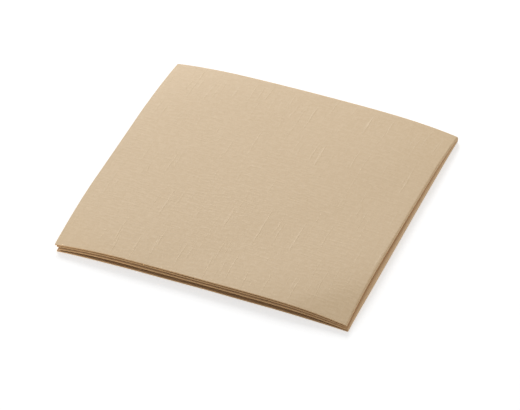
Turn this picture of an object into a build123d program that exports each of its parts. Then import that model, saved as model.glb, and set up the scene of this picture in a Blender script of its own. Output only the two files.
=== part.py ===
from build123d import *
import math
import os

# A square paper napkin, folded in four and lying on a table: one sheet with two creases.
# Frame: +Z up, the bottom layer on z = 0, the origin under the middle of the folded square.
# The first crease is on the +X side: it joins layers 0 and 1, and layers 2 and 3.
# The second crease is on the +Y side: layers 0 and 3 wrap round layers 1 and 2 there.
# The cut edges are loose on the -X and -Y sides, and meet at the open corner.
# The bottom layer lies flat, and between the corners the upper three spring up over it.

# Driving dimensions, in millimetres
sheet_side = 400.0
paper_thickness = 0.8
layer_gap = 0.45  # air between two layers at the folded corners
outer_overhang = 1.2  # the top and bottom layers reach this much further to -X than the inner two
lower_overhang = 0.8  # the lower two layers reach this much further to -Y than the upper two
side_bow = 1.35  # half way along, the left and right sides lie this much further to -X than at their ends
end_bow = 2.1  # half way along, the front and back sides lie this much further to +Y than at their ends
fold_skew = 1.5  # the upper two layers end this much further to -X at the front than a true fold would

# How much higher the top layer lies half way along each side, in the middle and at the open corner,
# than at the three folded corners
rise_front = 2.1
rise_back = 2.3
rise_left = 2.6
rise_right = 2.2
rise_centre = 3.1
rise_open_corner = 0.3

# How much of that rise each layer takes, from the bottom up
lift_shares = (0, 0.8, 0.9, 1)

layers = (0, 1, 2, 3)
top_layer = layers[-1]
corner_pitch = paper_thickness + layer_gap

# Flat runs of the sheet from the creases to the cut edges, from its developed length
first_roll_length = math.pi * corner_pitch / 2
second_roll_length = math.pi * corner_pitch
mean_run_x = (sheet_side - first_roll_length) / 2
mean_run_y = (sheet_side - second_roll_length) / 2

# The creases stand where the folded square is centred on the origin
corner_roll_reach = (corner_pitch + paper_thickness) / 2
middle_roll_reach = corner_roll_reach + lift_shares[1] * rise_right / 2 - side_bow
first_roll_reach = max(corner_roll_reach, middle_roll_reach)
second_roll_reach = (top_layer * corner_pitch + rise_back + paper_thickness) / 2 + end_bow
left_bulge = side_bow + fold_skew / 2 + fold_skew**2 / side_bow / 16  # how far the skewed bow stands out
crease_x = (mean_run_x + outer_overhang / 2 + left_bulge - first_roll_reach) / 2
crease_y = (mean_run_y + lower_overhang / 2 - second_roll_reach) / 2

# Each run of a layer has three stations: its cut edge, its middle and its crease
stations = (0, 1, 2)
cut, _, crease = stations
bow_shares = (0, 1, 0)
skew_shares = (1, 0.5, 0)

# Each layer's lower and upper face, and each roll's outside and inside, in thicknesses of paper
paper_faces = (0, 1)
roll_skins = (1, -1)

# A half circle from straight down to straight up, as a few equal arcs of three control points each
arc_count = 4
half_arc = math.pi / arc_count / 2
arc_weights = (1, math.cos(half_arc), 1)


def half_circle():
    """Control points of each arc of a half circle, as (outward, upward) in radii."""
    points = []
    for step in range(2 * arc_count + 1):
        angle = step * half_arc - math.pi / 2
        reach = 1 / arc_weights[step % 2]
        points.append((reach * math.cos(angle), reach * math.sin(angle)))
    return [points[start : start + 3] for start in range(0, 2 * arc_count, 2)]


def shares(place):
    """How much the start, the middle and the end of a side count at a place from -1 to 1."""
    return (place * (place - 1) / 2, 1 - place**2, place * (place + 1) / 2)


def rise(x, y):
    """How much higher the top layer lies at a point than at the folded corners."""
    across = shares(1 - 2 * (crease_x - x) / mean_run_x)
    along = shares(1 - 2 * (crease_y - y) / mean_run_y)
    front = across[0] * rise_open_corner + across[1] * rise_front
    centre = across[0] * rise_left + across[1] * rise_centre + across[2] * rise_right
    back = across[1] * rise_back
    return along[0] * front + along[1] * centre + along[2] * back


def run(start, end):
    """The three stations of a run, in order."""
    return (start, (start + end) / 2, end)


def run_x(layer):
    """A layer's stations in X, from its cut edge to the first crease."""
    reach = outer_overhang if layer in (layers[0], top_layer) else -outer_overhang
    return run(crease_x - mean_run_x - reach / 2, crease_x)


def run_y(layer):
    """A layer's stations in Y, from its cut edge to the second crease."""
    reach = lower_overhang if layer in layers[:2] else -lower_overhang
    return run(crease_y - mean_run_y - reach / 2, crease_y)


def spot(layer, paper_face, column, line):
    """The point of a layer's lower or upper face at a station in X and a station in Y."""
    x = run_x(layer)[column]
    y = run_y(layer)[line]
    z = layer * corner_pitch + lift_shares[layer] * rise(x, y) + paper_face * paper_thickness
    skew = 0 if layer in layers[:2] else fold_skew * skew_shares[line]
    return Vector(x - side_bow * bow_shares[line] - skew, y + end_bow * bow_shares[column], z)


def parabola(start, mid, end):
    """Control points of the parabola through three points that are evenly spaced along it."""
    return (start, mid * 2 - (start + end) * 0.5, end)


def side_line(layer, paper_face, side):
    """Control points of a line along a side of a layer's lower or upper face."""
    return parabola(*[spot(layer, paper_face, column, line) for column, line in side])


def along_x(line):
    """The stations of a side that runs in X."""
    return [(column, line) for column in stations]


def along_y(column):
    """The stations of a side that runs in Y."""
    return [(column, line) for line in stations]


def flat_panel(paper_face):
    """The lower or upper face of the bottom layer, which lies flat on the table."""
    sides = (along_x(cut), along_y(crease), along_x(crease)[::-1], along_y(cut)[::-1])
    return Face(Wire([Edge.make_bezier(*side_line(layers[0], paper_face, side)) for side in sides]))


def crowned_panel(layer, paper_face):
    """The lower or upper face of a layer that lies over another one."""
    columns = [side_line(layer, paper_face, along_y(column)) for column in stations]
    return Face.make_bezier_surface(list(zip(*[parabola(*line) for line in zip(*columns)])))


def cut_edges(layer):
    """A layer's two cut edges, each as thick as the paper."""
    faces = []
    for side in (along_x(cut), along_y(cut)):
        faces.append(Face.make_bezier_surface([side_line(layer, face, side) for face in paper_faces]))
    return faces


def half_roll(lower, upper, side, outward):
    """The outside, the inside and the cut end of the half roll that joins two layers along a side."""
    skins = []
    for paper_face in paper_faces:
        starts = side_line(lower, paper_face, side)
        ends = side_line(upper, 1 - paper_face, side)
        skins.append(list(zip(starts, ends)))
    cut_end = [skin[0] for skin in skins]
    faces = []
    for strip in (*skins, cut_end):
        weights = [[weight] * len(strip) for weight in arc_weights]
        for arc in half_circle():
            points = []
            for out, up in arc:
                turn = Vector(out * outward[0], out * outward[1], up)
                points.append([(start + end) * 0.5 + turn * ((end.Z - start.Z) / 2) for start, end in strip])
            faces.append(Face.make_bezier_surface(points, weights))
    return faces


def closed_corner():
    """The corner where the first crease goes round the second one, as part of a ring."""
    axis_height = (top_layer * corner_pitch + paper_thickness) / 2
    weights = [[first * second for second in arc_weights] for first in arc_weights]
    faces = []
    for skin in roll_skins:
        radius = (corner_pitch + skin * paper_thickness) / 2
        for section in half_circle():
            ring = [(crease_x + out * radius, corner_pitch - up * radius) for out, up in section]
            for turn in half_circle():
                points = []
                for x, reach in ring:
                    points.append([(x, crease_y + out * reach, axis_height + up * reach) for out, up in turn])
                faces.append(Face.make_bezier_surface(points, weights))
    return faces


def napkin():
    """The whole folded sheet as one closed solid."""
    faces = [flat_panel(paper_face) for paper_face in paper_faces]
    for layer in layers[1:]:
        faces += [crowned_panel(layer, paper_face) for paper_face in paper_faces]
    for layer in layers:
        faces += cut_edges(layer)
    for lower in layers[::2]:
        faces += half_roll(lower, lower + 1, along_y(crease), (1, 0))
    for lower in layers[:2]:
        faces += half_roll(lower, top_layer - lower, along_x(crease), (0, 1))
    faces += closed_corner()
    return Solid(Shell(faces))


os.makedirs("parts", exist_ok=True)
export_step(napkin(), "parts/napkin.step")
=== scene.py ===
"""Scene of one paper napkin: a square sheet, folded in four and lying on a table.

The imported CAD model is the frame. A folded sheet of embossed paper stands in for its solid here, made by
the same rule and from the same sizes. Lengths are in millimetres until they reach Blender.
"""

from __future__ import annotations

import logging
import math
from dataclasses import dataclass
from enum import Enum
from typing import Any, Mapping, Optional, Sequence, Union

import bpy
from mathutils import Matrix, Vector


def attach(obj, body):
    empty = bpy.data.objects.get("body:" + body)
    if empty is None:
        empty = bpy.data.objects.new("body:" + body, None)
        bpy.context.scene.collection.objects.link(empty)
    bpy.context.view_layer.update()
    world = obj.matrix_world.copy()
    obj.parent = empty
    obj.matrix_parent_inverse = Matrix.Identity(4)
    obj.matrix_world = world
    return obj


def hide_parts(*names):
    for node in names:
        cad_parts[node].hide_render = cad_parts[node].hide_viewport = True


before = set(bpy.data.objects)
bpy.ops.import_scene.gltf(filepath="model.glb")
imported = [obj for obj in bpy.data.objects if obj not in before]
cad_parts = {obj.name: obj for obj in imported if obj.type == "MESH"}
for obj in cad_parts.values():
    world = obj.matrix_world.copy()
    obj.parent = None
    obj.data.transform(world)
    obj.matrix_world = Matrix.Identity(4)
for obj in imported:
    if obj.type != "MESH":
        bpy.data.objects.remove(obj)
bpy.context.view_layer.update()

log = logging.getLogger("napkin")

MM = 0.001
TURN = 2 * math.pi
SHEET_MAP = "flat_sheet"
RIM_ATTRIBUTE = "cut_rim"
CREASE_ATTRIBUTE = "crease"
# Marks the inner faces of the fold, which get painted shade between the layers
FOLD_INNER_SHADE_ATTRIBUTE = "inside"
OUTWARD_ATTRIBUTE = "outward"
PHOTO_WIDTH = 520

Colour = tuple[float, float, float]
Point = tuple[float, float, float]
Operand = Union["Value", float]

WHITE: Colour = (1.0, 1.0, 1.0)


class Way(Enum):
    """The two ways that threads run in the flat sheet."""

    ALONG_X = "along_x"
    ALONG_Y = "along_y"


class Corner(Enum):
    """The corners of the folded square: whether each is at the first and at the second crease."""

    FRONT_RIGHT = (True, False)
    FRONT_LEFT = (False, False)
    BACK_RIGHT = (True, True)
    BACK_LEFT = (False, True)


class Holder(Enum):
    """What each value of a mesh attribute belongs to."""

    POINT = "POINT"
    FACE = "FACE"
    FACE_CORNER = "CORNER"


class Kind(Enum):
    """What each value of a mesh attribute is."""

    NUMBER = "FLOAT"
    MAP_PLACE = "FLOAT2"
    VECTOR = "FLOAT_VECTOR"


@dataclass(frozen=True)
class Value:
    """A number's output socket, on which Python's operators add Math nodes."""

    graph: Graph
    socket: bpy.types.NodeSocket

    def __add__(self, other: Operand) -> Value:
        """Adds a value or a number."""
        return self.graph.math("ADD", self, other)

    def __radd__(self, other: Operand) -> Value:
        """Adds this value to a number."""
        return self.graph.math("ADD", other, self)

    def __sub__(self, other: Operand) -> Value:
        """Takes a value or a number away."""
        return self.graph.math("SUBTRACT", self, other)

    def __rsub__(self, other: Operand) -> Value:
        """Takes this value away from a number."""
        return self.graph.math("SUBTRACT", other, self)

    def __mul__(self, other: Operand) -> Value:
        """Multiplies by a value or a number."""
        return self.graph.math("MULTIPLY", self, other)

    def __rmul__(self, other: Operand) -> Value:
        """Multiplies a number by this value."""
        return self.graph.math("MULTIPLY", other, self)

    def __truediv__(self, other: Operand) -> Value:
        """Divides by a value or a number."""
        return self.graph.math("DIVIDE", self, other)

    def __pow__(self, other: Operand) -> Value:
        """Raises this value, which is not negative, to a power."""
        return self.graph.math("POWER", self, other)

    def __neg__(self) -> Value:
        """Changes the sign."""
        return self.graph.math("MULTIPLY", self, -1.0)

    def __abs__(self) -> Value:
        """Drops the sign."""
        return self.graph.math("ABSOLUTE", self)

    def sign(self) -> Value:
        """The sign of this value, as -1, 0 or 1."""
        return self.graph.math("SIGN", self)

    def at_least(self, other: Operand) -> Value:
        """The larger of this value and another."""
        return self.graph.math("MAXIMUM", self, other)

    def at_most(self, other: Operand) -> Value:
        """The smaller of this value and another."""
        return self.graph.math("MINIMUM", self, other)

    def sine(self) -> Value:
        """The sine of this value, in radians."""
        return self.graph.math("SINE", self)

    def cosine(self) -> Value:
        """The cosine of this value, in radians."""
        return self.graph.math("COSINE", self)


class Graph:
    """A node tree that is written as expressions on its values."""

    def __init__(self, tree: bpy.types.NodeTree) -> None:
        """Takes the tree that the nodes go into."""
        self.tree = tree

    def feed(self, socket: bpy.types.NodeSocket, source: Any) -> None:
        """Links a socket to a value or another socket, or sets it.

        Args:
            socket: The input socket.
            source: A Value, an output socket, or what the socket's own field takes.
        """
        if isinstance(source, Value):
            self.tree.links.new(source.socket, socket)
        elif isinstance(source, bpy.types.NodeSocket):
            self.tree.links.new(source, socket)
        else:
            socket.default_value = source

    def node(
        self,
        kind: str,
        settings: Optional[Mapping[str, Any]] = None,
        inputs: Optional[Mapping[str, Any]] = None,
    ) -> bpy.types.Node:
        """Adds a node.

        Args:
            kind: The node's type.
            settings: Its properties, which are set before its sockets.
            inputs: What its sockets get, by their identifiers.

        Returns:
            The new node.
        """
        node = self.tree.nodes.new(kind)
        for name, setting in (settings or {}).items():
            setattr(node, name, setting)
        sockets = {socket.identifier: socket for socket in node.inputs}
        for name, source in (inputs or {}).items():
            self.feed(sockets[name], source)
        return node

    def result(
        self,
        kind: str,
        settings: Optional[Mapping[str, Any]] = None,
        inputs: Optional[Mapping[str, Any]] = None,
    ) -> bpy.types.NodeSocket:
        """Adds a node with the same arguments, and gives its first output."""
        return self.node(kind, settings, inputs).outputs[0]

    def math(self, operation: str, *operands: Operand) -> Value:
        """Adds a Math node.

        Args:
            operation: The node's operation.
            operands: Its values and numbers, in order.

        Returns:
            The node's result.
        """
        inputs = dict(zip(("Value", "Value_001"), operands))
        return Value(self, self.result("ShaderNodeMath", {"operation": operation}, inputs))

    def parts(self, vector: bpy.types.NodeSocket) -> tuple[Value, Value, Value]:
        """The three numbers of a vector."""
        node = self.node("ShaderNodeSeparateXYZ", inputs={"Vector": vector})
        return tuple(Value(self, socket) for socket in node.outputs)

    def vector(self, x: Operand, y: Operand, z: Operand = 0.0) -> bpy.types.NodeSocket:
        """The vector of three numbers."""
        return self.result("ShaderNodeCombineXYZ", inputs={"X": x, "Y": y, "Z": z})

    def along(self, vector: bpy.types.NodeSocket, length: Operand) -> bpy.types.NodeSocket:
        """A vector times a number."""
        inputs = {"Vector": vector, "Scale": length}
        return self.result("ShaderNodeVectorMath", {"operation": "SCALE"}, inputs)

    def noise(self, x: Operand, y: Operand, detail: float = 0.0) -> Value:
        """Smooth noise from 0 to 1 over two numbers, with hills about 1 apart.

        Args:
            x: The first number.
            y: The second number.
            detail: How many finer octaves are added.

        Returns:
            The noise.
        """
        inputs = {"Vector": self.vector(x, y), "Scale": 1.0, "Detail": detail}
        return Value(self, self.result("ShaderNodeTexNoise", {"noise_dimensions": "2D"}, inputs))

    def step(self, value: Value, low: Operand, high: Operand) -> Value:
        """A smooth step over a value.

        Args:
            value: The value.
            low: Where the step starts at 0.
            high: Where the step ends at 1.

        Returns:
            The step.
        """
        settings = {"interpolation_type": "SMOOTHSTEP"}
        inputs = {"Value": value, "From Min": low, "From Max": high}
        return Value(self, self.result("ShaderNodeMapRange", settings, inputs))

    def blend(self, share: Value, first: Any, second: Any) -> bpy.types.NodeSocket:
        """A colour between two others.

        Args:
            share: How much of the second colour there is, from 0 to 1.
            first: The first colour, or the socket that gives it.
            second: The second colour, or the socket that gives it.

        Returns:
            The colour.
        """
        inputs = {"Factor_Float": share, "A_Color": first, "B_Color": second}
        node = self.node("ShaderNodeMix", {"data_type": "RGBA"}, inputs)
        return next(socket for socket in node.outputs if socket.identifier == "Result_Color")

    def mark(self, name: str) -> Value:
        """A number that a mesh carries, by its attribute's name."""
        return Value(self, self.node("ShaderNodeAttribute", {"attribute_name": name}).outputs["Fac"])

    def shown(self) -> Value:
        """Tells the rays that show a surface to the camera from those that only light it.

        Returns:
            1 on the rays from the camera, also mirrored or through glass, and else 0.
        """
        path = self.node("ShaderNodeLightPath").outputs
        names = ("Is Camera Ray", "Is Glossy Ray", "Is Transmission Ray")
        straight, mirrored, passed = (Value(self, path[name]) for name in names)
        return straight.at_least(mirrored).at_least(passed)

    def store(
        self,
        mesh: bpy.types.NodeSocket,
        name: str,
        value: Any,
        kind: Kind = Kind.NUMBER,
        holder: Holder = Holder.POINT,
        selection: Any = True,
    ) -> bpy.types.NodeSocket:
        """Keeps values on a mesh as a named attribute.

        Args:
            mesh: The mesh.
            name: The attribute's name.
            value: One value for all, or the field that gives them.
            kind: What each value is.
            holder: What each value belongs to.
            selection: Where the values are kept.

        Returns:
            The mesh with the attribute.
        """
        settings = {"data_type": kind.value, "domain": holder.value}
        inputs = {"Geometry": mesh, "Selection": selection, "Name": name, "Value": value}
        return self.result("GeometryNodeStoreNamedAttribute", settings, inputs)

    def add_inputs(self, values: Mapping[str, Any]) -> dict[str, Value]:
        """Gives the tree named inputs.

        Args:
            values: What each input will hold, by its name.

        Returns:
            Each input's value inside the tree, by its name.
        """
        kinds = {
            float: "NodeSocketFloat",
            int: "NodeSocketInt",
            bpy.types.Material: "NodeSocketMaterial",
        }
        for name, value in values.items():
            self.tree.interface.new_socket(name, in_out="INPUT", socket_type=kinds[type(value)])
        outputs = self.node("NodeGroupInput").outputs
        return {name: Value(self, outputs[name]) for name in values}


def opaque(colour: Colour) -> tuple[float, float, float, float]:
    """A colour with its alpha."""
    return (*colour, 1.0)


def new_material(name: str) -> tuple[bpy.types.Material, Graph]:
    """Makes an empty material.

    Args:
        name: The material's name.

    Returns:
        The material and the graph of its nodes.
    """
    material = bpy.data.materials.new(name)
    material.use_nodes = True
    material.node_tree.nodes.clear()
    return material, Graph(material.node_tree)


@dataclass(frozen=True)
class Streaks:
    """Scattered stretches of thread that stand out of the emboss, in millimetres.

    Attributes:
        way: The way that they run.
        width: How far apart they are across that way.
        length: How far apart they are along it.
        start: The value of their noise at which they start to show.
        full: The value of their noise at which they are at their full height.
        height: How high they stand.
        tint_and_highlight: How much of the paper's range of tones they are lighter, partly their own
            lighter fibre and partly painted highlight on their raised relief.
        sway: How far they stray sideways.
        sway_across: How far apart the strays are across their way.
        sway_along: How far apart the strays are along it.
    """

    way: Way
    width: float
    length: float
    start: float
    full: float
    height: float
    tint_and_highlight: float
    sway: float = 1.2
    sway_across: float = 9.0
    sway_along: float = 14.0

    def mask(self, graph: Graph, across: Value, along: Value) -> Value:
        """Where the stretches stand, from 0 to 1.

        Args:
            graph: The material's nodes.
            across: The flat sheet's first coordinate.
            along: The flat sheet's second coordinate.

        Returns:
            The mask.
        """
        if self.way is Way.ALONG_X:
            across, along = along, across
        across = across + graph.noise(across / self.sway_across, along / self.sway_along) * self.sway
        pattern = graph.noise(across / self.width, along / self.length)
        return graph.step(pattern, self.start, self.full)


@dataclass(frozen=True)
class EmbossedPaper:
    """Soft beige paper with a linen-look emboss, in millimetres of its flat sheet.

    Each light is how much of the range from the low tone to the high one a part of the emboss takes. The
    threads, the grain and the streaks are lighter where they stand higher: painted highlight on the raised
    emboss, the grain partly the paper's own mottle and the streaks partly their own lighter fibre.
    """

    name: str = "napkin_paper"

    low_tone: Colour = (0.582, 0.406, 0.213)
    high_tone: Colour = (0.762, 0.582, 0.374)
    base_light: float = 0.222
    # Painted highlight: the threads and the grain are lighter where they stand higher, the grain partly
    # the paper's own mottle
    thread_highlight: float = 0.02
    grain_mottle_and_highlight: float = 0.24
    cloud_light: float = 0.08

    # Painted shade on the rolls of the creases: darker and warmer
    crease_shade_tone: Colour = (0.625, 0.42, 0.222)
    crease_shade_share: float = 0.3
    # Painted shade between the layers: the inner faces of the fold are darker and warmer
    fold_inner_shade_tone: Colour = (0.62, 0.38, 0.19)
    fold_inner_shade_share: float = 0.8
    # Painted shade on the cut edges, with a little of their own deeper tone
    rim_shade_low_tone: Colour = (0.5, 0.3, 0.13)
    rim_shade_high_tone: Colour = (0.66, 0.41, 0.2)

    thread_pitch: float = 0.9
    thread_height: float = 0.009
    thread_sway: float = 1.6  # in pitches
    thread_sway_across: float = 7.0
    thread_sway_along: float = 45.0
    weft_shift: float = 500.0  # so that the weft's sway isn't the warp's

    grain_size: float = 1.4
    grain_detail: float = 1.0
    grain_height: float = 0.032
    cloud_size: float = 26.0
    cloud_detail: float = 2.0

    roughness: float = 0.55
    roughness_swing: float = 0.12
    specular_level: float = 0.42

    # The streaks are lighter: painted highlight on their raised relief, partly their own lighter fibre
    streaks: Sequence[Streaks] = (
        Streaks(Way.ALONG_X, width=1.7, length=5.0, start=0.35, full=0.75, height=0.03, tint_and_highlight=0.115),
        Streaks(Way.ALONG_Y, width=1.4, length=3.6, start=0.4, full=0.75, height=0.014, tint_and_highlight=0.08),
        Streaks(Way.ALONG_Y, width=1.3, length=40.0, start=0.71, full=0.92, height=0.075, tint_and_highlight=0.2),
        Streaks(Way.ALONG_X, width=1.2, length=20.0, start=0.75, full=0.87, height=0.035, tint_and_highlight=0.12),
    )

    def _threads(self, graph: Graph, across: Value, along: Value) -> Value:
        """Fine threads side by side, from 0 between them to 1 on top.

        Args:
            graph: The material's nodes.
            across: The coordinate across the threads, in millimetres.
            along: The coordinate along them, in millimetres.

        Returns:
            The threads' height.
        """
        stray = graph.noise(across / self.thread_sway_across, along / self.thread_sway_along)
        return ((across / self.thread_pitch + stray * self.thread_sway) * TURN).sine() * 0.5 + 0.5

    def _emboss(self, graph: Graph, across: Value, along: Value) -> tuple[Value, Value, Value]:
        """The emboss over the flat sheet.

        Args:
            graph: The material's nodes.
            across: The flat sheet's first coordinate, in millimetres.
            along: The flat sheet's second coordinate, in millimetres.

        Returns:
            The emboss's height in millimetres, its light with the painted highlight on its raised threads,
            grain and streaks, and the grain from 0 to 1.
        """
        warp = self._threads(graph, across, along)
        weft = self._threads(graph, along + self.weft_shift, across)
        grain = graph.noise(across / self.grain_size, along / self.grain_size, self.grain_detail)
        clouds = graph.noise(across / self.cloud_size, along / self.cloud_size, self.cloud_detail)
        height = (warp + weft) * self.thread_height + grain * self.grain_height
        # Painted light on the emboss: the thread crests and the higher grain are lighter and the hollows
        # darker; the clouds are the paper's own mottle
        light = self.base_light + (warp + weft) * self.thread_highlight
        light = light + grain * self.grain_mottle_and_highlight + clouds * self.cloud_light
        for streaks in self.streaks:
            mask = streaks.mask(graph, across, along)
            height = height + mask * streaks.height
            # Painted highlight on the raised streaks, together with their own lighter fibre
            light = light + mask * streaks.tint_and_highlight
        return height, light, grain

    def _tone(self, graph: Graph, light: Value) -> bpy.types.NodeSocket:
        """The paper's colour, with painted shade on the rolls of its creases, on the inner faces of its
        fold and, with a little of their own deeper tone, on its cut edges.

        Args:
            graph: The material's nodes.
            light: The emboss's light.

        Returns:
            The colour.
        """
        tone = graph.blend(light, opaque(self.low_tone), opaque(self.high_tone))
        # Painted shade on the rolls of the creases, which face sideways away from the light
        creased = graph.mark(CREASE_ATTRIBUTE) * self.crease_shade_share
        tone = graph.blend(creased, tone, opaque(self.crease_shade_tone))
        # Painted shade: the inner faces of the fold, seen in the gaps between the layers and on the rolls,
        # are darker and warmer, in place of the shade and the warm light bounced between the layers
        inside = graph.mark(FOLD_INNER_SHADE_ATTRIBUTE) * self.fold_inner_shade_share
        tone = graph.blend(inside, tone, opaque(self.fold_inner_shade_tone))
        # Painted shade on the cut edges: darker and warmer than the faces, mostly the shade of edges that
        # face away from the light and the warm light bounced between the layers, a little of it the cut
        # paper's own deeper tone
        rim_shade_tone = graph.blend(light, opaque(self.rim_shade_low_tone), opaque(self.rim_shade_high_tone))
        return graph.blend(graph.mark(RIM_ATTRIBUTE), tone, rim_shade_tone)

    def build(self) -> bpy.types.Material:
        """Makes the paper's material from its emboss and its tones.

        Returns:
            The material.
        """
        material, graph = new_material(self.name)
        first, second, _ = graph.parts(graph.result("ShaderNodeUVMap", {"uv_map": SHEET_MAP}))
        height, light, grain = self._emboss(graph, first / MM, second / MM)
        relief = {"Strength": 1.0, "Distance": MM, "Height": height}
        shader = graph.result(
            "ShaderNodeBsdfPrincipled",
            inputs={
                "Base Color": self._tone(graph, light),
                "Roughness": self.roughness + (grain - 0.5) * self.roughness_swing,
                "Normal": graph.result("ShaderNodeBump", inputs=relief),
                "Specular IOR Level": self.specular_level,
            },
        )
        graph.node("ShaderNodeOutputMaterial", inputs={"Surface": shader})
        return material


@dataclass(frozen=True)
class Fold:
    """Where the points of the flat sheet go across one crease, as fields over its grid.

    Attributes:
        flat: The place on the flat sheet, from the crease.
        distance: The distance from the crease's roll, on either side.
        turned: How far the sheet has turned over, from 0 before the roll to 1 past it.
        swell: How far the roll stands out, from 0 at its ends to 1 half way round it.
        place: The place between the cut edge at -1 and the roll at 1.
    """

    flat: Value
    distance: Value
    turned: Value
    swell: Value
    place: Value

    @property
    def shares(self) -> tuple[Value, Value, Value]:
        """How much the cut edge, the middle and the crease count at each point."""
        square = self.place * self.place
        return ((square - self.place) * 0.5, 1.0 - square, (square + self.place) * 0.5)


@dataclass(frozen=True)
class Droop:
    """How one corner of the folded square hangs below the swelling round it, in millimetres.

    Attributes:
        corner: The corner.
        sag: How far its tip hangs.
        swell: How far the sheet stands up round it.
    """

    corner: Corner
    sag: float
    swell: float

    @property
    def inputs(self) -> tuple[str, str]:
        """The names of the inputs that hold the sag and the swell."""
        name = self.corner.name.replace("_", " ").capitalize()
        return f"{name} sag", f"{name} swell"


@dataclass(frozen=True)
class FoldedNapkin:
    """The napkin's one sheet, with lengths in millimetres."""

    name: str = "napkin_sheet"
    node: str = "napkin"
    slot: str = "paper"

    # The CAD model's sizes
    sheet_side: float = 400.0
    paper_thickness: float = 0.8
    layer_gap: float = 0.45
    outer_overhang: float = 1.2
    lower_overhang: float = 0.8
    side_bow: float = 1.35
    end_bow: float = 2.1
    fold_skew: float = 1.5
    rise_front: float = 2.1
    rise_back: float = 2.3
    rise_left: float = 2.6
    rise_right: float = 2.2
    rise_centre: float = 3.1
    rise_open_corner: float = 0.3
    lift_shares: Sequence[float] = (0.0, 0.8, 0.9, 1.0)

    # How much squarer the rolls are half way along, how much of the air between the two rolls of the
    # first crease their swelling takes up, and how soon it ends away from them
    roll_pressing: float = 0.35
    roll_swelling: float = 0.45
    roll_tightness: float = 60.0

    # Chance forms of the limp paper
    droops: Sequence[Droop] = (
        Droop(Corner.FRONT_RIGHT, sag=0.2, swell=1.0),
        Droop(Corner.FRONT_LEFT, sag=0.0, swell=0.6),
        Droop(Corner.BACK_RIGHT, sag=0.0, swell=0.3),
        Droop(Corner.BACK_LEFT, sag=0.0, swell=0.2),
    )
    corner_bend: float = 45.0
    corner_level: float = 140.0
    cockle_height: float = 0.3
    cockle_span: float = 60.0
    cockle_detail: float = 1.0
    edge_wave: float = 0.5
    edge_wave_span: float = 40.0
    edge_wave_fade: float = 6.0

    # The mesh
    run_cells: int = 88
    first_roll_cells: int = 12
    second_roll_cells: int = 16
    weld_distance: float = 0.001

    @property
    def corner_pitch(self) -> float:
        """The height from one layer to the next at the folded corners."""
        return self.paper_thickness + self.layer_gap

    @property
    def runs(self) -> tuple[float, float]:
        """The mean flat runs from the creases to the cut edges.

        Returns:
            The run in X and the run in Y.
        """
        first_roll = math.pi * self.corner_pitch / 2
        second_roll = math.pi * self.corner_pitch
        return ((self.sheet_side - first_roll) / 2, (self.sheet_side - second_roll) / 2)

    @property
    def creases(self) -> tuple[float, float]:
        """The places of the creases with which the folded square is centred.

        Returns:
            The first crease's X and the second crease's Y.
        """
        corner_reach = (self.corner_pitch + self.paper_thickness) / 2
        middle_reach = corner_reach + self.lift_shares[1] * self.rise_right / 2 - self.side_bow
        first_reach = max(corner_reach, middle_reach)
        top_layer = len(self.lift_shares) - 1
        stack = top_layer * self.corner_pitch + self.rise_back + self.paper_thickness
        second_reach = stack / 2 + self.end_bow
        run_x, run_y = self.runs
        # How far a bow on a slanted base line stands out
        left_bulge = self.side_bow + self.fold_skew / 2 + self.fold_skew**2 / self.side_bow / 16
        crease_x = (run_x + self.outer_overhang / 2 + left_bulge - first_reach) / 2
        crease_y = (run_y + self.lower_overhang / 2 - second_reach) / 2
        return crease_x, crease_y

    @property
    def cells(self) -> tuple[int, int]:
        """How many cells the grid has, in X and in Y."""
        return 2 * self.run_cells + self.first_roll_cells, 2 * self.run_cells + self.second_roll_cells

    def _inputs(self, material: bpy.types.Material) -> dict[str, Any]:
        """What the fold's inputs hold: lengths in metres, counts and the finish.

        Args:
            material: The paper's finish.

        Returns:
            The inputs' values by name.
        """
        run_x, run_y = self.runs
        crease_x, crease_y = self.creases
        lengths = {
            "Paper thickness": self.paper_thickness,
            "Corner pitch": self.corner_pitch,
            "Run X": run_x,
            "Run Y": run_y,
            "Crease X": crease_x,
            "Crease Y": crease_y,
            "Outer overhang": self.outer_overhang,
            "Lower overhang": self.lower_overhang,
            "Side bow": self.side_bow,
            "End bow": self.end_bow,
            "Fold skew": self.fold_skew,
            "Rise front": self.rise_front,
            "Rise back": self.rise_back,
            "Rise left": self.rise_left,
            "Rise right": self.rise_right,
            "Rise centre": self.rise_centre,
            "Rise open corner": self.rise_open_corner,
            "Corner bend": self.corner_bend,
            "Corner level": self.corner_level,
            "Cockle height": self.cockle_height,
            "Cockle span": self.cockle_span,
            "Edge wave": self.edge_wave,
            "Edge wave span": self.edge_wave_span,
            "Weld distance": self.weld_distance,
        }
        for droop in self.droops:
            lengths.update(zip(droop.inputs, (droop.sag, droop.swell)))
        inputs: dict[str, Any] = {name: length * MM for name, length in lengths.items()}
        cells_x, cells_y = self.cells
        inputs["Points X"] = cells_x + 1
        inputs["Points Y"] = cells_y + 1
        inputs["Paper"] = material
        return inputs

    def _fold(
        self, spot: Value, other: Value, roll_share: float, run: Value, overhang: Value, half_roll: Value
    ) -> Fold:
        """Folds one way of the sheet round a crease.

        Args:
            spot: The grid's coordinate across the crease, from -1 to 1 with the crease in the middle.
            other: The grid's coordinate along the crease.
            roll_share: How much of the grid is in the crease's roll.
            run: The mean length from the crease to the cut edge.
            overhang: How much longer the side before the crease is.
            half_roll: Half the length of the roll, along the sheet.

        Returns:
            The fold's fields.
        """
        turn = (spot / roll_share).at_least(-1.0).at_most(1.0)
        reach = (abs(spot) - roll_share).at_least(0.0) / (1.0 - roll_share)
        distance = reach * (run - turn * overhang * 0.5)
        angle = turn * (math.pi / 2)
        # 1 half way along each half of the crease, and 0 at the halves' ends
        halfway = abs(other) * (1.0 - abs(other)) * 4.0
        roundness = 1.0 - halfway * halfway * self.roll_pressing
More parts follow.
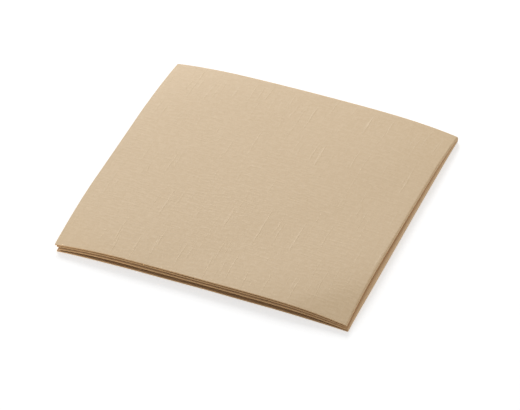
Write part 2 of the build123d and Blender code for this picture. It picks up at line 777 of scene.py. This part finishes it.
        # The place is eased, so that the crown is flatter in the middle and steeper near the edges
        place = 1.0 - distance / run * 2.0
        return Fold(
            flat=turn * (half_roll + distance),
            distance=distance,
            turned=turn.sign() * abs(angle.sine()) ** roundness * 0.5 + 0.5,
            swell=angle.cosine().at_least(0.0) ** roundness,
            place=place * (1.0 + place * place) * 0.5,
        )

    def _folds(self, graph: Graph, size: Mapping[str, Value]) -> tuple[Fold, Fold]:
        """Folds the sheet both ways.

        Args:
            graph: The fold's nodes.
            size: The tree's inputs.

        Returns:
            The first fold and the second one.
        """
        spot_x, spot_y, _ = graph.parts(graph.result("GeometryNodeInputPosition"))
        cells_x, cells_y = self.cells
        first = self._fold(
            spot_x,
            spot_y,
            roll_share=self.first_roll_cells / cells_x,
            run=size["Run X"],
            overhang=size["Outer overhang"],
            half_roll=size["Corner pitch"] * (math.pi / 4),
        )
        second = self._fold(
            spot_y,
            spot_x,
            roll_share=self.second_roll_cells / cells_y,
            run=size["Run Y"],
            overhang=size["Lower overhang"],
            half_roll=size["Corner pitch"] * (math.pi / 2),
        )
        return first, second

    def _rise(self, graph: Graph, size: Mapping[str, Value], first: Fold, second: Fold) -> Value:
        """How much higher the top layer lies than at the folded corners.

        Args:
            graph: The fold's nodes.
            size: The tree's inputs.
            first: The first fold.
            second: The second fold.

        Returns:
            The rise, with the paper's small cockles and its drooping corners.
        """
        left, across, right = first.shares
        front, along, back = second.shares
        front_rise = left * size["Rise open corner"] + across * size["Rise front"]
        middle_rise = left * size["Rise left"] + across * size["Rise centre"]
        middle_rise = middle_rise + right * size["Rise right"]
        back_rise = across * size["Rise back"]
        crown = front * front_rise + along * middle_rise + back * back_rise
        span = size["Cockle span"]
        cockles = graph.noise(first.distance / span, second.distance / span, self.cockle_detail)
        rise = crown + cockles * size["Cockle height"]
        for droop in self.droops:
            at_first, at_second = droop.corner.value
            sag, swell = (size[name] for name in droop.inputs)
            from_first = first.distance if at_first else size["Run X"] - first.distance
            from_second = second.distance if at_second else size["Run Y"] - second.distance
            away = from_first + from_second
            bent = graph.step(away, 0.0, size["Corner bend"])
            level = graph.step(away, size["Corner bend"], size["Corner level"])
            rise = rise + bent * (sag + swell) - level * swell - sag
        return rise

    def _wave(self, graph: Graph, size: Mapping[str, Value], fold: Fold, other: Fold) -> Value:
        """How far a cut edge strays from a straight line, fading out away from it.

        Args:
            graph: The fold's nodes.
            size: The tree's inputs.
            fold: The fold that the cut edge is parallel to.
            other: The other fold.

        Returns:
            The stray length.
        """
        span = size["Edge wave span"]
        stray = graph.noise(other.flat / span, fold.flat / span) - 0.5
        nearness = ((1.0 - fold.place) * 0.5) ** self.edge_wave_fade
        return stray * nearness * size["Edge wave"]

    def _place(
        self, graph: Graph, size: Mapping[str, Value], first: Fold, second: Fold
    ) -> bpy.types.NodeSocket:
        """Where each point of the sheet lies, half way through the paper.

        Args:
            graph: The fold's nodes.
            size: The tree's inputs.
            first: The first fold.
            second: The second fold.

        Returns:
            The places.
        """
        thickness = size["Paper thickness"]
        pitch = size["Corner pitch"]
        rise = self._rise(graph, size, first, second)
        bottom, lower, upper, top = [
            thickness * 0.5 + pitch * float(layer) + rise * share
            for layer, share in enumerate(self.lift_shares)
        ]
        swelling = (upper - lower - thickness) * self.roll_swelling
        swelling = swelling * (1.0 - first.distance / size["Run X"]) ** self.roll_tightness
        lower = lower + swelling
        upper = upper - swelling
        low = bottom + (lower - bottom) * first.turned
        high = top + (upper - top) * first.turned
        low_roll = (lower - bottom) * 0.5
        high_roll = (top - upper) * 0.5
        out_x = first.swell * (low_roll + (high_roll - low_roll) * second.turned)
        out_y = second.swell * (high - low) * 0.5
        bow_x = size["Side bow"] * second.shares[1]
        bow_y = size["End bow"] * first.shares[1]
        skew = size["Fold skew"] * second.turned * second.distance / size["Run Y"]
        x = size["Crease X"] - first.distance + out_x - bow_x - skew
        x = x + self._wave(graph, size, first, second)
        y = size["Crease Y"] - second.distance + out_y + bow_y
        y = y + self._wave(graph, size, second, first)
        z = low + (high - low) * second.turned
        return graph.vector(x, y, z)

    def _thicken(
        self, graph: Graph, size: Mapping[str, Value], middle: bpy.types.NodeSocket
    ) -> bpy.types.NodeSocket:
        """Gives the folded surface the paper's thickness.

        Args:
            graph: The fold's nodes.
            size: The tree's inputs.
            middle: The surface half way through the paper.

        Returns:
            The closed mesh.
        """
        thickness = size["Paper thickness"]
        normal = graph.result("GeometryNodeInputNormal")
        marked = graph.store(middle, OUTWARD_ATTRIBUTE, normal, Kind.VECTOR)
        outward = graph.result(
            "GeometryNodeInputNamedAttribute",
            {"data_type": Kind.VECTOR.value},
            {"Name": OUTWARD_ATTRIBUTE},
        )
        lowering = {"Geometry": marked, "Offset": graph.along(outward, -(thickness * 0.5))}
        under = graph.result("GeometryNodeSetPosition", inputs=lowering)
        flipped = graph.result("GeometryNodeFlipFaces", inputs={"Mesh": under})
        raised = graph.node(
            "GeometryNodeExtrudeMesh",
            {"mode": "FACES"},
            {"Mesh": under, "Offset Scale": 0.0, "Individual": False},
        )
        upper_face = raised.outputs["Top"]
        rim = raised.outputs["Side"]
        over = graph.result(
            "GeometryNodeSetPosition",
            inputs={
                "Geometry": raised.outputs["Mesh"],
                "Selection": upper_face,
                "Offset": graph.along(outward, thickness),
            },
        )
        # Marks the cut edges, for their painted shade
        rimmed = graph.store(over, RIM_ATTRIBUTE, rim, holder=Holder.FACE)
        # Marks the upper faces as inner faces of the fold, for painted shade between the layers
        inner_shade_marked = graph.store(rimmed, FOLD_INNER_SHADE_ATTRIBUTE, 1.0, selection=upper_face)
        smooth = graph.result(
            "GeometryNodeSetShadeSmooth",
            {"domain": Holder.FACE.value},
            {"Geometry": inner_shade_marked, "Selection": rim, "Shade Smooth": False},
        )
        both = graph.node("GeometryNodeJoinGeometry")
        for side in (smooth, flipped):
            graph.feed(both.inputs[0], side)
        welding = {"Geometry": both.outputs[0], "Distance": size["Weld distance"]}
        welded = graph.result("GeometryNodeMergeByDistance", inputs=welding)
        leftover = {"Geometry": welded, "Name": OUTWARD_ATTRIBUTE}
        return graph.result("GeometryNodeRemoveAttribute", inputs=leftover)

    def _fold_tree(self, inputs: Mapping[str, Any]) -> bpy.types.NodeTree:
        """Makes the Geometry Nodes that fold a flat grid in four and give it thickness.

        Args:
            inputs: The inputs' values by name.

        Returns:
            The tree.
        """
        tree = bpy.data.node_groups.new("fold_in_four", "GeometryNodeTree")
        tree.interface.new_socket("Geometry", in_out="OUTPUT", socket_type="NodeSocketGeometry")
        graph = Graph(tree)
        size = graph.add_inputs(inputs)
        counts = {"Vertices X": size["Points X"], "Vertices Y": size["Points Y"]}
        grid = graph.result("GeometryNodeMeshGrid", inputs={"Size X": 2.0, "Size Y": 2.0, **counts})
        first, second = self._folds(graph, size)
        flat = graph.vector(first.flat, second.flat)
        mapped = graph.store(grid, SHEET_MAP, flat, Kind.MAP_PLACE, Holder.FACE_CORNER)
        # Marks the rolls of the creases, for their painted shade
        creased = graph.store(mapped, CREASE_ATTRIBUTE, first.swell.at_least(second.swell))
        # Marks the inner faces of the fold, for painted shade between the layers
        wrapped = graph.store(creased, FOLD_INNER_SHADE_ATTRIBUTE, first.turned)
        place = {"Geometry": wrapped, "Position": self._place(graph, size, first, second)}
        middle = graph.result("GeometryNodeSetPosition", inputs=place)
        closed = self._thicken(graph, size, middle)
        whole = graph.result("GeometryNodeRealizeInstances", inputs={"Geometry": closed})
        finish = {"Geometry": whole, "Material": size["Paper"]}
        dressed = graph.result("GeometryNodeSetMaterial", inputs=finish)
        graph.feed(graph.node("NodeGroupOutput").inputs[0], dressed)
        return tree

    def build(self, finish: EmbossedPaper) -> bpy.types.Object:
        """Makes the folded sheet as a plain closed mesh.

        Args:
            finish: The paper's finish.

        Returns:
            The sheet's object.
        """
        inputs = self._inputs(finish.build())
        tree = self._fold_tree(inputs)
        piece = bpy.data.objects.new(self.name, bpy.data.meshes.new(self.name))
        bpy.context.scene.collection.objects.link(piece)
        modifier = piece.modifiers.new("fold", "NODES")
        modifier.node_group = tree
        for item in tree.interface.items_tree:
            if item.in_out == "INPUT":
                modifier[item.identifier] = inputs[item.name]
        graph = bpy.context.evaluated_depsgraph_get()
        mesh = bpy.data.meshes.new_from_object(
            piece.evaluated_get(graph), preserve_all_data_layers=True, depsgraph=graph
        )
        piece.modifiers.clear()
        piece.data = mesh
        mesh.name = self.name
        bpy.data.node_groups.remove(tree)
        return piece

    def declare(self, piece: bpy.types.Object) -> None:
        """Tells the frame what the sheet is and what it stands for.

        Args:
            piece: The sheet's object.
        """
        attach(piece, "root")
        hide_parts(self.node)


@dataclass(frozen=True)
class SoftLamp:
    """A square white studio lamp that points at the origin.

    Attributes:
        name: The lamp's name.
        place: Its place, in metres.
        side: The length of its sides, in metres.
        power: Its power, in watts.
    """

    name: str
    place: Point
    side: float
    power: float

    def build(self) -> None:
        """Makes the lamp, which the camera doesn't see."""
        light = bpy.data.lights.new(self.name, "AREA")
        light.shape = "SQUARE"
        light.size = self.side
        light.energy = self.power
        lamp = bpy.data.objects.new(self.name, light)
        lamp.location = self.place
        lamp.rotation_euler = (-Vector(self.place)).to_track_quat("-Z", "Y").to_euler()
        lamp.visible_camera = False
        bpy.context.scene.collection.objects.link(lamp)


@dataclass(frozen=True)
class Studio:
    """The table, the light round it and the background.

    Attributes:
        floor_side: The length of the table's sides, in metres.
        floor_depth: How far the table lies under the napkin, in metres.
        floor_seen: The table's grey where the camera sees it.
        floor_lit: The table's grey where it throws light on the napkin.
        floor_glow: How much the table glows where the camera sees it.
        ambient: The strength of the even light from all round.
        lamps: The lamps.
    """

    floor_side: float = 12.0
    floor_depth: float = 0.00005
    floor_seen: float = 0.7
    floor_lit: float = 0.8
    floor_glow: float = 0.54
    ambient: float = 0.38
    lamps: Sequence[SoftLamp] = (
        SoftLamp("back_lamp", place=(-0.85, 1.46, 1.07), side=0.9, power=28.0),
        SoftLamp("right_lamp", place=(2.05, -0.3, 0.18), side=0.35, power=8.5),
        SoftLamp("front_lamp", place=(-0.38, -0.3, 0.02), side=0.04, power=0.9),
    )

    def _floor_finish(self) -> bpy.types.Material:
        """Makes a table top that is white to the camera and keeps the shadow.

        Returns:
            The material.
        """
        material, graph = new_material("table_top")
        seen = graph.shown()
        greys = [opaque((grey,) * 3) for grey in (self.floor_lit, self.floor_seen)]
        matte = graph.result("ShaderNodeBsdfDiffuse", inputs={"Color": graph.blend(seen, *greys)})
        glow = graph.result("ShaderNodeEmission", inputs={"Strength": seen * self.floor_glow})
        both = graph.result("ShaderNodeAddShader", inputs={"Shader": matte, "Shader_001": glow})
        graph.node("ShaderNodeOutputMaterial", inputs={"Surface": both})
        return material

    def _build_floor(self) -> None:
        """Makes the table top, just under the napkin."""
        half = self.floor_side / 2
        corners = [(-half, -half), (half, -half), (half, half), (-half, half)]
        mesh = bpy.data.meshes.new("table_top")
        mesh.from_pydata([(x, y, -self.floor_depth) for x, y in corners], [], [(0, 1, 2, 3)])
        mesh.materials.append(self._floor_finish())
        floor = bpy.data.objects.new("table_top", mesh)
        bpy.context.scene.collection.objects.link(floor)

    def _build_world(self) -> None:
        """Makes the even light, behind which the camera sees white."""
        world = bpy.data.worlds.new("studio")
        world.use_nodes = True
        world.node_tree.nodes.clear()
        graph = Graph(world.node_tree)
        strength = self.ambient + graph.shown() * (1.0 - self.ambient)
        light = {"Color": opaque(WHITE), "Strength": strength}
        sky = graph.result("ShaderNodeBackground", inputs=light)
        graph.node("ShaderNodeOutputWorld", inputs={"Surface": sky})
        bpy.context.scene.world = world

    def build(self) -> None:
        """Makes the table, the lamps and the world."""
        self._build_floor()
        self._build_world()
        for lamp in self.lamps:
            lamp.build()
        bpy.context.scene.view_settings.view_transform = "Standard"


@dataclass(frozen=True)
class PhotoCamera:
    """The camera at the photograph's viewing angle, in degrees and millimetres."""

    azimuth: float = 21.92
    elevation: float = 41.13
    roll: float = 0.284
    distance: float = 2795.7
    target: Point = (4.38, -10.61, 0.0)
    focal_pixels: float = 4304.0
    sensor: float = 36.0
    sight: float = 100000.0  # how far it sees

    def build(self) -> None:
        """Makes the camera and gives it to the scene."""
        azimuth = math.radians(self.azimuth)
        elevation = math.radians(self.elevation)
        flat = math.cos(elevation)
        back = Vector((math.sin(azimuth) * flat, -math.cos(azimuth) * flat, math.sin(elevation)))
        right = Vector((math.cos(azimuth), math.sin(azimuth), 0.0))
        up = back.cross(right)
        turn = Matrix((right, up, back)).transposed()
        data = bpy.data.cameras.new("photo_camera")
        data.sensor_fit = "HORIZONTAL"
        data.sensor_width = self.sensor
        data.lens = self.focal_pixels / PHOTO_WIDTH * self.sensor
        data.clip_end = self.sight * MM
        camera = bpy.data.objects.new("photo_camera", data)
        place = (Vector(self.target) + back * self.distance) * MM
        roll = Matrix.Rotation(math.radians(self.roll), 4, "Z")
        camera.matrix_world = Matrix.Translation(place) @ turn.to_4x4() @ roll
        bpy.context.scene.collection.objects.link(camera)
        bpy.context.scene.camera = camera


def main() -> None:
    """Builds the camera, the napkin and the studio in order."""
    logging.basicConfig(level=logging.INFO, format="%(name)s: %(message)s")
    PhotoCamera().build()
    napkin = FoldedNapkin()
    piece = napkin.build(EmbossedPaper())
    napkin.declare(piece)
    log.info("%s: %d points, %d faces", piece.name, len(piece.data.vertices), len(piece.data.polygons))
    Studio().build()


if __name__ == "__main__":
    main()
